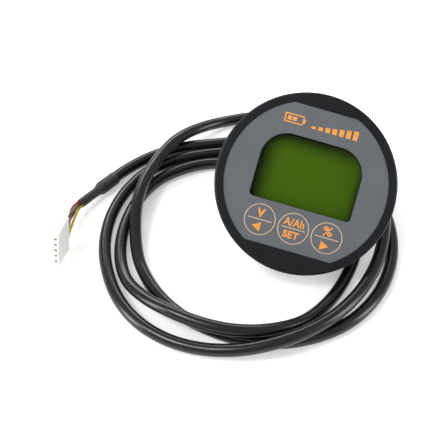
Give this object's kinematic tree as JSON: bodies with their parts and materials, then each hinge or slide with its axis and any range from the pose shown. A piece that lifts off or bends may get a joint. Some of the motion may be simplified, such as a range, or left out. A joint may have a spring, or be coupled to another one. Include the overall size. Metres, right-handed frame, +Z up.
{
  "type": "battery monitor display",
  "caption": "Round panel display of a battery monitor, with window and press keys, lying back on its own coiled lead, which ends in a small multi-way plug.",
  "frame": {"origin": "On the surface the unit lies on, below the centre of the display's own outline, without the lead and plug.", "axes": "X to the right across the bezel and Z up. The display's face looks up and towards -Y, tipped 40 degrees back from level."},
  "size_m": [0.1255, 0.1179, 0.0492],
  "materials": {
    "bezel_plastic": "fine satin moulded texture",
    "label_film": "matt printed polyester film",
    "clear_plastic": "clear polished",
    "lcd": "backlit glass, plain field",
    "white_plastic": "diffusing",
    "strip_rubber": "soft",
    "black_plastic": "smooth moulded",
    "board": "solder resist",
    "chip": "moulded epoxy",
    "can_metal": "drawn",
    "screw_steel": "bright zinc",
    "boot_rubber": "satin",
    "cable_jacket": "satin extruded jacket",
    "sleeve_film": "shrunk film",
    "wire_red": "extruded insulation",
    "wire_black": "extruded insulation",
    "wire_blue": "extruded insulation",
    "wire_white": "extruded insulation",
    "wire_yellow": "extruded insulation",
    "plug_plastic": "moulded nylon",
    "contact_metal": "tinned strip"
  },
  "bodies": {
    "unit": {"front_bezel": "bezel_plastic", "label": "label_film", "window_lens": "clear_plastic", "left_switch_body": "can_metal", "middle_switch_body": "can_metal", "right_switch_body": "can_metal", "lcd_glass": "lcd", "backlight": "white_plastic", "lcd_strip": "strip_rubber", "lcd_frame": "black_plastic", "circuit_board": "board", "main_chip": "chip", "driver_chip": "chip", "capacitors": "can_metal", "crystal": "can_metal", "board_screws": "screw_steel", "rear_housing": "bezel_plastic", "case_screws": "screw_steel", "cable_grommet": "boot_rubber", "inner_wires": "wire_red", "cable": "cable_jacket", "cable_sleeve": "sleeve_film", "black_wire": "wire_black", "red_wire": "wire_red", "blue_wire": "wire_blue", "yellow_wire": "wire_yellow", "white_wire": "wire_white", "plug_housing": "plug_plastic", "plug_contacts": "contact_metal"},
    "key_left": {"left_key_pad": "label_film", "left_key_stem": "black_plastic", "left_switch_button": "black_plastic"},
    "key_middle": {"middle_key_pad": "label_film", "middle_key_stem": "black_plastic", "middle_switch_button": "black_plastic"},
    "key_right": {"right_key_pad": "label_film", "right_key_stem": "black_plastic", "right_switch_button": "black_plastic"}
  },
  "joints": [
    {"name": "left_key_press", "type": "slide", "parent": "unit", "child": "key_left", "axis": [0, 0.6428, -0.766], "range_m": [0, 0.0003], "stiffness_N_per_m": 2500},
    {"name": "middle_key_press", "type": "slide", "parent": "unit", "child": "key_middle", "axis": [0, 0.6428, -0.766], "range_m": [0, 0.0003], "stiffness_N_per_m": 2500},
    {"name": "right_key_press", "type": "slide", "parent": "unit", "child": "key_right", "axis": [0, 0.6428, -0.766], "range_m": [0, 0.0003], "stiffness_N_per_m": 2500}
  ]
}
